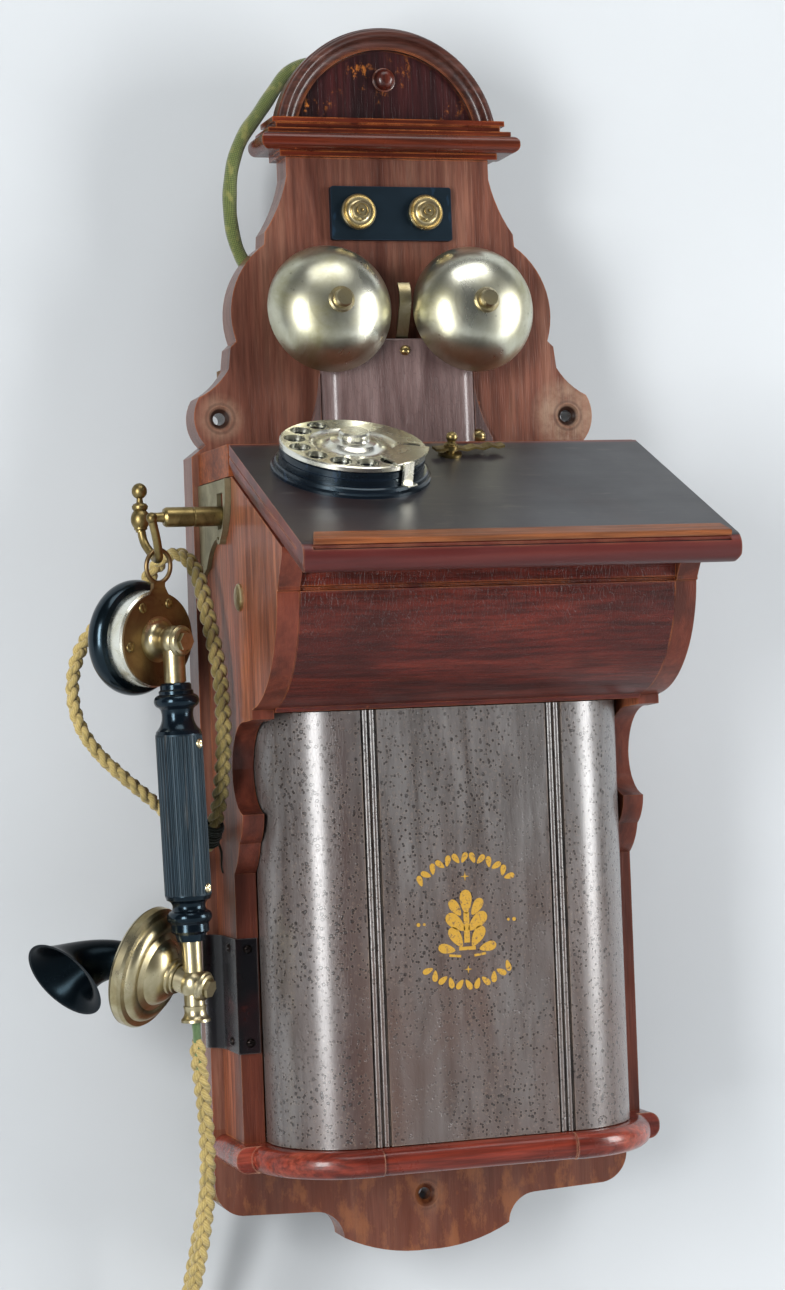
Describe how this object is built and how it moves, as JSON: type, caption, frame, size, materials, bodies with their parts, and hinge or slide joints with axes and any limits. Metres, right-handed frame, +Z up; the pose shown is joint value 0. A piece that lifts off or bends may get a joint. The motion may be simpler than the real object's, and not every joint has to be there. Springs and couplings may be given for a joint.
{
  "type": "wall telephone",
  "caption": "Wall telephone with writing desk lid, twin gongs, dial, hand generator crank and a handset with horn mouthpiece hanging on a hook switch.",
  "frame": {"origin": "wall plane, midway between the two ear screw holes and at their height", "axes": "+Z up, front faces -Y, +X to the right seen from the front"},
  "size_m": [0.3877, 0.2409, 0.791],
  "materials": {
    "mahogany": "aged shellac",
    "dark_wood": "worn dark varnish",
    "black_board": "black stain, satin",
    "worn_edge": "worn varnish",
    "pale_wood": "bare",
    "nickel": "aged nickel",
    "brass": "tarnished",
    "steel": "plain",
    "ebonite": "polished",
    "shell_black": "polished",
    "copper_coil": "silk covered winding",
    "card": "card jacket",
    "cord_yellow": "plaited cotton",
    "cord_green": "braided cotton"
  },
  "bodies": {
    "case": {"back_board": "mahogany", "rear_battens": "pale_wood", "cornice": "mahogany", "pediment_arch": "mahogany", "pediment_panel": "mahogany", "pediment_button": "mahogany", "terminal_plate": "ebonite", "terminal_nuts": "brass", "gongs": "nickel", "gong_nuts": "brass", "ringer_frame": "steel", "ringer_coils": "copper_coil", "ringer_cover": "mahogany", "cover_wings": "mahogany", "left_side_panel": "mahogany", "right_side_panel": "mahogany", "top_rail": "mahogany", "desk_front_panel": "mahogany", "case_floor": "pale_wood", "bottom_shelf": "mahogany", "hook_plate": "brass", "hook_bracket": "steel", "case_bushings": "brass", "magneto_frame": "brass", "magneto_magnets": "steel", "induction_coil": "copper_coil", "dry_cells": "card", "guard_plate": "shell_black", "case_screws": "brass", "handset_cord": "cord_yellow", "line_cord": "cord_green"},
    "lid": {"desk_lid": "black_board", "lid_lip": "worn_edge", "lid_hinges": "brass", "dial_base": "ebonite", "dial_case": "ebonite", "dial_stop": "nickel", "clip_base": "brass"},
    "finger_wheel": {"dial_wheel": "nickel"},
    "clip": {"clip_arm": "brass"},
    "clapper": {"clapper": "nickel"},
    "battery_door": {"battery_door": "dark_wood"},
    "crank": {"crank_shaft": "steel", "drive_gear": "brass", "crank_arm": "nickel"},
    "crank_grip": {"crank_knob": "ebonite"},
    "armature": {"magneto_armature": "steel"},
    "hook": {"switch_hook": "brass"},
    "handset": {"hanger_plate": "brass", "receiver_case": "nickel", "receiver_unit": "steel", "receiver_cap": "ebonite", "handset_stem": "brass", "handset_grip": "ebonite", "handset_neck": "brass", "cord_ferrule": "brass", "transmitter_case": "brass", "transmitter_capsule": "steel", "transmitter_front": "nickel", "horn": "ebonite"}
  },
  "joints": [
    {"name": "lid_hinge", "type": "hinge", "parent": "case", "child": "lid", "pos_m": [0, -0.0999, -0.0216], "axis": [-1, 0, 0], "range_deg": [0, 95]},
    {"name": "dial_turn", "type": "hinge", "parent": "lid", "child": "finger_wheel", "pos_m": [-0.063, -0.14348, -0.03936], "axis": [0, 0.4067, -0.9135], "range_deg": [0, 310], "stiffness_Nm_per_rad": 0.01, "springref_deg": -28.65},
    {"name": "clip_turn", "type": "hinge", "parent": "lid", "child": "clip", "pos_m": [0.0009, -0.12083, -0.02927], "axis": [0, -0.4067, 0.9135], "range_deg": [-90, 20]},
    {"name": "clapper_swing", "type": "hinge", "parent": "case", "child": "clapper", "pos_m": [0, -0.04, 0.014], "axis": [0, 1, 0], "range_deg": [-5.5, 1], "stiffness_Nm_per_rad": 0.05},
    {"name": "door_pull", "type": "slide", "parent": "case", "child": "battery_door", "axis": [0, -1, 0], "range_m": [0, 0.06]},
    {"name": "crank_turn", "type": "hinge", "parent": "case", "child": "crank", "pos_m": [0, -0.1078, -0.1036], "axis": [1, 0, 0], "continuous": true},
    {"name": "grip_turn", "type": "hinge", "parent": "crank", "child": "crank_grip", "pos_m": [0.13, -0.0558, -0.1036], "axis": [1, 0, 0], "continuous": true},
    {"name": "armature_turn", "type": "hinge", "parent": "case", "child": "armature", "pos_m": [0, -0.1078, -0.1396], "axis": [1, 0, 0], "continuous": true},
    {"name": "handset_lift", "type": "slide", "parent": "case", "child": "handset", "axis": [0, 0, 1], "range_m": [0, 0.0056]},
    {"name": "hook_lever", "type": "hinge", "parent": "case", "child": "hook", "pos_m": [-0.075, -0.081, -0.058], "axis": [0, 1, 0], "range_deg": [0, 3.9], "stiffness_Nm_per_rad": 0.3, "springref_deg": 20.05}
  ],
  "couplings": [
    {"joint": "armature_turn", "follows": "crank_turn", "ratio": -5},
    {"joint": "hook_lever", "follows": "handset_lift", "rad_per_m": 12.05}
  ]
}
